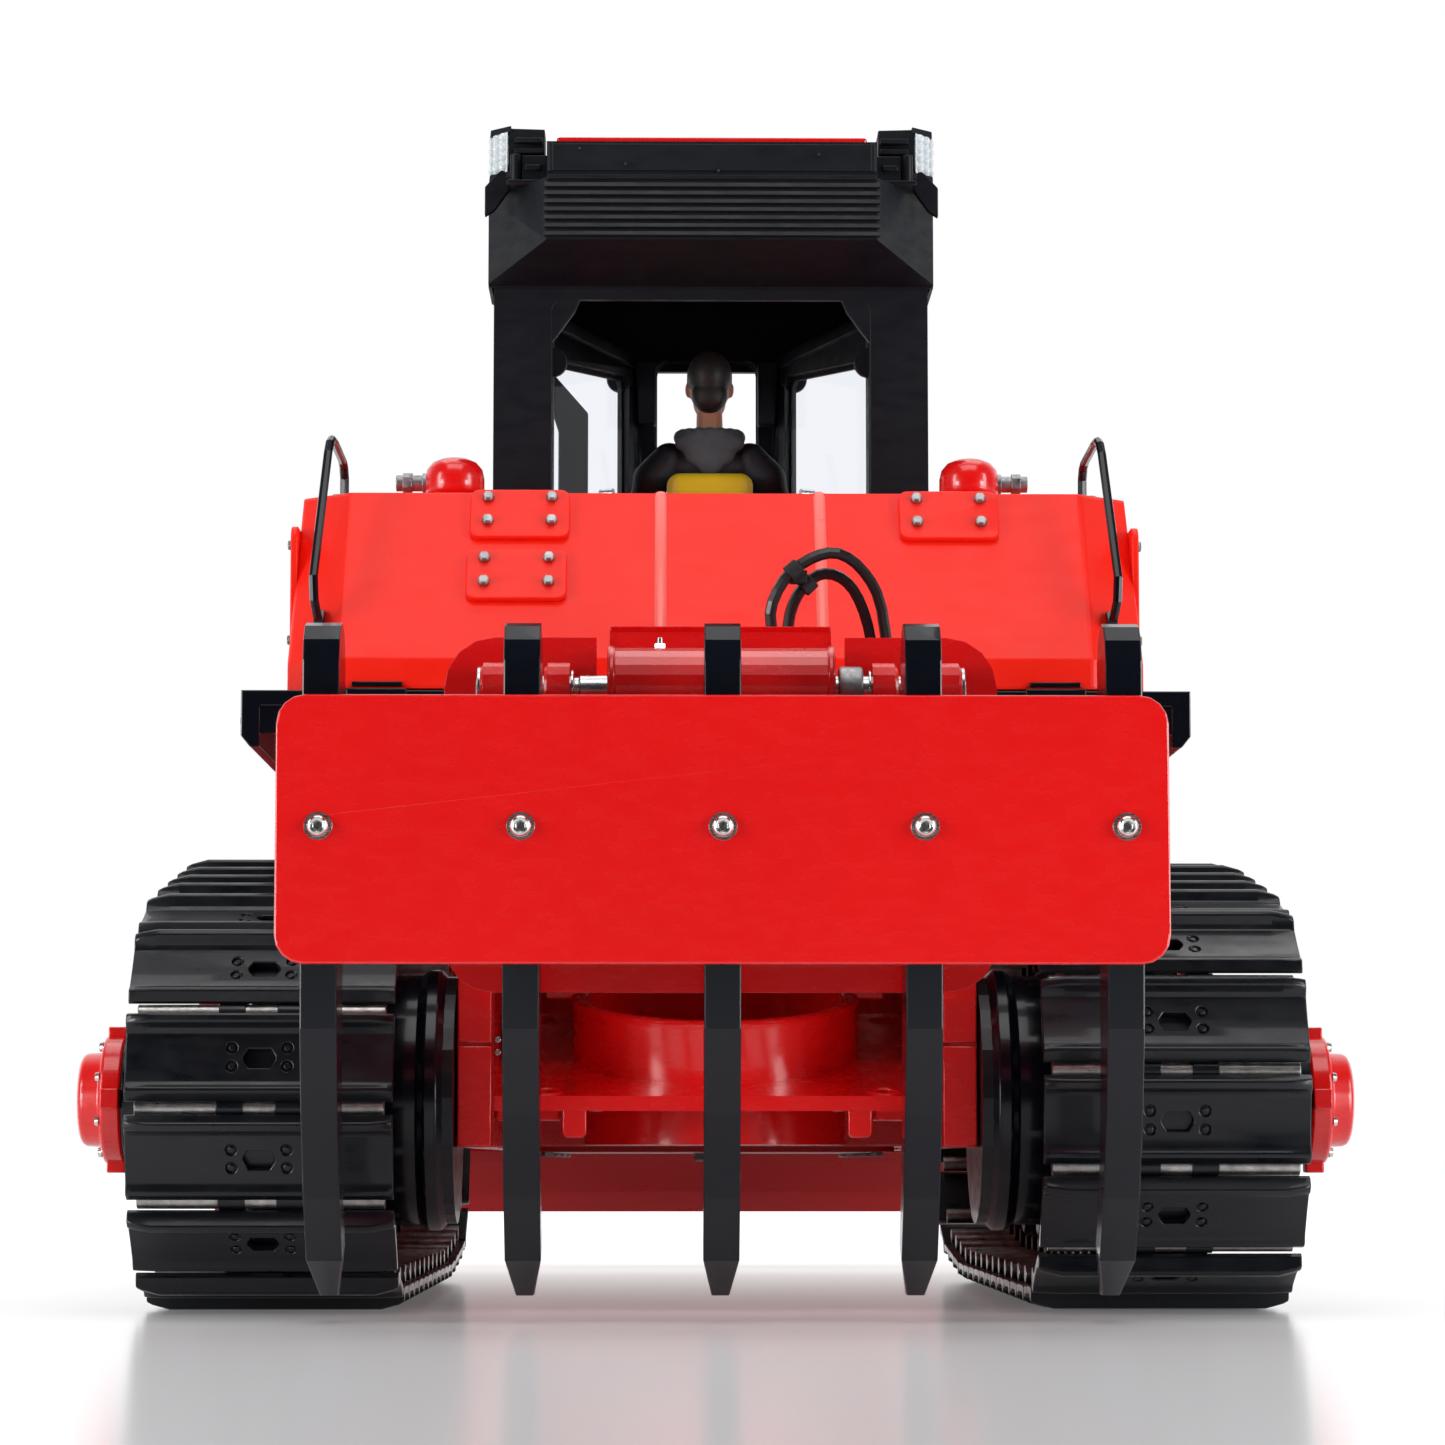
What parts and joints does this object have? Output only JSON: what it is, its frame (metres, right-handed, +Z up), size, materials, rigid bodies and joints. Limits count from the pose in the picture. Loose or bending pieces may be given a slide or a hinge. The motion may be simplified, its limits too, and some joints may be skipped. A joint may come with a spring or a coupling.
{
  "type": "toy bulldozer with rear ripper",
  "caption": "Red and black metal toy bulldozer with steel tracks, a cab with a seated figure, a front blade and a rear ripper with curved shanks",
  "frame": {"origin": "on the floor, under the middle of the machine's bounding box", "axes": "+X is to the right seen from behind, +Y is forward towards the blade, +Z is up"},
  "size_m": [0.3, 0.504, 0.278],
  "materials": {
    "red_paint": "bright red gloss paint on metal plate",
    "black_metal": "blue-black semi-gloss coating on steel",
    "cab_black": "satin black paint",
    "bright_steel": "bright machined steel",
    "seat_yellow": "matte yellow moulded plastic",
    "figure_dark": "matte dark painted figure",
    "hose_black": "smooth black rubber hose"
  },
  "bodies": {
    "tractor": {"main_frame": "red_paint", "rear_housing": "red_paint", "cover_plate_1": "red_paint", "cover_plate_2": "red_paint", "cover_plate_3": "red_paint", "engine_hood": "red_paint", "radiator_grille": "black_metal", "exhaust_stack": "black_metal", "filler_cap_left": "red_paint", "filler_cap_right": "red_paint", "fender_left": "black_metal", "fender_right": "black_metal", "handrail_left": "black_metal", "handrail_right": "black_metal", "cab_shell": "cab_black", "cab_visor": "cab_black", "cab_roof": "red_paint", "work_light_left": "cab_black", "work_light_right": "cab_black", "driver_seat": "seat_yellow", "driver_figure": "figure_dark", "control_console": "cab_black", "track_chain_left": "black_metal", "track_chain_right": "black_metal", "track_frame_left": "black_metal", "track_frame_right": "black_metal", "hydraulic_hose_1": "hose_black", "hydraulic_hose_2": "hose_black"},
    "blade_frame": {"blade": "red_paint", "push_arm_left": "red_paint", "push_arm_right": "red_paint"},
    "lift_barrel_left": {"lift_cylinder_barrel_left": "black_metal"},
    "lift_barrel_right": {"lift_cylinder_barrel_right": "black_metal"},
    "lift_rod_left": {"lift_cylinder_rod_left": "bright_steel"},
    "lift_rod_right": {"lift_cylinder_rod_right": "bright_steel"},
    "ripper_arm": {"ripper_lower_arm": "red_paint"},
    "ripper_link": {"ripper_top_link": "red_paint"},
    "ripper_carriage": {"ripper_carriage": "red_paint", "ripper_face_plate": "red_paint", "ripper_top_pin": "bright_steel", "ripper_shank_1": "black_metal", "ripper_shank_2": "black_metal", "ripper_shank_3": "black_metal", "ripper_shank_4": "black_metal", "ripper_shank_5": "black_metal", "ripper_screw_1": "bright_steel", "ripper_screw_2": "bright_steel", "ripper_screw_3": "bright_steel", "ripper_screw_4": "bright_steel", "ripper_screw_5": "bright_steel"},
    "ripper_barrel": {"ripper_cylinder_barrel": "black_metal"},
    "ripper_rod": {"ripper_cylinder_rod": "bright_steel"},
    "door_left": {"cab_door_left": "cab_black"},
    "door_right": {"cab_door_right": "cab_black"},
    "sprocket_left": {"sprocket_left": "red_paint"},
    "idler_left": {"idler_left": "black_metal"},
    "carrier_left": {"carrier_roller_left": "black_metal"},
    "sprocket_right": {"sprocket_right": "red_paint"},
    "idler_right": {"idler_right": "black_metal"},
    "carrier_right": {"carrier_roller_right": "black_metal"}
  },
  "joints": [
    {"name": "ripper_lift", "type": "hinge", "parent": "tractor", "child": "ripper_arm", "pos_m": [0, -0.16, 0.08], "axis": [-1, 0, 0], "range_deg": [-12, 34]},
    {"name": "ripper_top_link_swing", "type": "hinge", "parent": "tractor", "child": "ripper_link", "pos_m": [0, -0.175, 0.123], "axis": [-1, 0, 0], "range_deg": [-12.5, 34.5]},
    {"name": "ripper_carriage_swing", "type": "hinge", "parent": "ripper_arm", "child": "ripper_carriage", "pos_m": [0, -0.206, 0.08], "axis": [-1, 0, 0], "range_deg": [-34.5, 12.5]},
    {"name": "ripper_cylinder_swing", "type": "hinge", "parent": "tractor", "child": "ripper_barrel", "pos_m": [0, -0.17, 0.108], "axis": [-1, 0, 0], "range_deg": [-11.1, 29.6]},
    {"name": "ripper_rod_slide", "type": "slide", "parent": "ripper_barrel", "child": "ripper_rod", "axis": [0, -0.7863, -0.6178], "range_m": [-0.0177, 0.00657]},
    {"name": "blade_lift", "type": "hinge", "parent": "tractor", "child": "blade_frame", "pos_m": [0, 0.01, 0.042], "axis": [1, 0, 0], "range_deg": [-4.5, 14]},
    {"name": "lift_cylinder_swing_left", "type": "hinge", "parent": "tractor", "child": "lift_barrel_left", "pos_m": [-0.0605, 0.13, 0.165], "axis": [1, 0, 0], "range_deg": [-4.7, 12.4]},
    {"name": "lift_rod_slide_left", "type": "slide", "parent": "lift_barrel_left", "child": "lift_rod_left", "axis": [0, 0.5708, -0.8211], "range_m": [-0.04226, 0.01399]},
    {"name": "lift_cylinder_swing_right", "type": "hinge", "parent": "tractor", "child": "lift_barrel_right", "pos_m": [0.0605, 0.13, 0.165], "axis": [1, 0, 0], "range_deg": [-4.7, 12.4]},
    {"name": "lift_rod_slide_right", "type": "slide", "parent": "lift_barrel_right", "child": "lift_rod_right", "axis": [0, 0.5708, -0.8211], "range_m": [-0.04226, 0.01399]},
    {"name": "door_swing_right", "type": "hinge", "parent": "tractor", "child": "door_right", "pos_m": [0.05113, -0.00823, 0.19], "axis": [0, 0, -1], "range_deg": [0, 75]},
    {"name": "door_swing_left", "type": "hinge", "parent": "tractor", "child": "door_left", "pos_m": [-0.05113, -0.00823, 0.19], "axis": [0, 0, 1], "range_deg": [0, 75]},
    {"name": "sprocket_turn_left", "type": "hinge", "parent": "tractor", "child": "sprocket_left", "pos_m": [-0.0929, -0.148, 0.044], "axis": [1, 0, 0], "continuous": true},
    {"name": "idler_turn_left", "type": "hinge", "parent": "tractor", "child": "idler_left", "pos_m": [-0.0929, 0.12384, 0.0445], "axis": [1, 0, 0], "continuous": true},
    {"name": "carrier_turn_left", "type": "hinge", "parent": "tractor", "child": "carrier_left", "pos_m": [-0.0929, -0.076, 0.0797], "axis": [1, 0, 0], "continuous": true},
    {"name": "sprocket_turn_right", "type": "hinge", "parent": "tractor", "child": "sprocket_right", "pos_m": [0.0929, -0.148, 0.044], "axis": [1, 0, 0], "continuous": true},
    {"name": "idler_turn_right", "type": "hinge", "parent": "tractor", "child": "idler_right", "pos_m": [0.0929, 0.12384, 0.0445], "axis": [1, 0, 0], "continuous": true},
    {"name": "carrier_turn_right", "type": "hinge", "parent": "tractor", "child": "carrier_right", "pos_m": [0.0929, -0.076, 0.0797], "axis": [1, 0, 0], "continuous": true}
  ],
  "couplings": [
    {"joint": "ripper_top_link_swing", "follows": "ripper_lift", "ratio": 1},
    {"joint": "ripper_carriage_swing", "follows": "ripper_lift", "ratio": -1},
    {"joint": "ripper_cylinder_swing", "follows": "ripper_lift", "ratio": 0.84257},
    {"joint": "ripper_rod_slide", "follows": "ripper_lift", "m_per_rad": -0.028977},
    {"joint": "lift_cylinder_swing_left", "follows": "blade_lift", "ratio": 0.815},
    {"joint": "lift_rod_slide_left", "follows": "blade_lift", "m_per_rad": -0.1705},
    {"joint": "lift_cylinder_swing_right", "follows": "blade_lift", "ratio": 0.815},
    {"joint": "lift_rod_slide_right", "follows": "blade_lift", "m_per_rad": -0.1705},
    {"joint": "idler_turn_left", "follows": "sprocket_turn_left", "ratio": 1.1162},
    {"joint": "carrier_turn_left", "follows": "sprocket_turn_left", "ratio": 5.023},
    {"joint": "idler_turn_right", "follows": "sprocket_turn_right", "ratio": 1.1162},
    {"joint": "carrier_turn_right", "follows": "sprocket_turn_right", "ratio": 5.023}
  ]
}
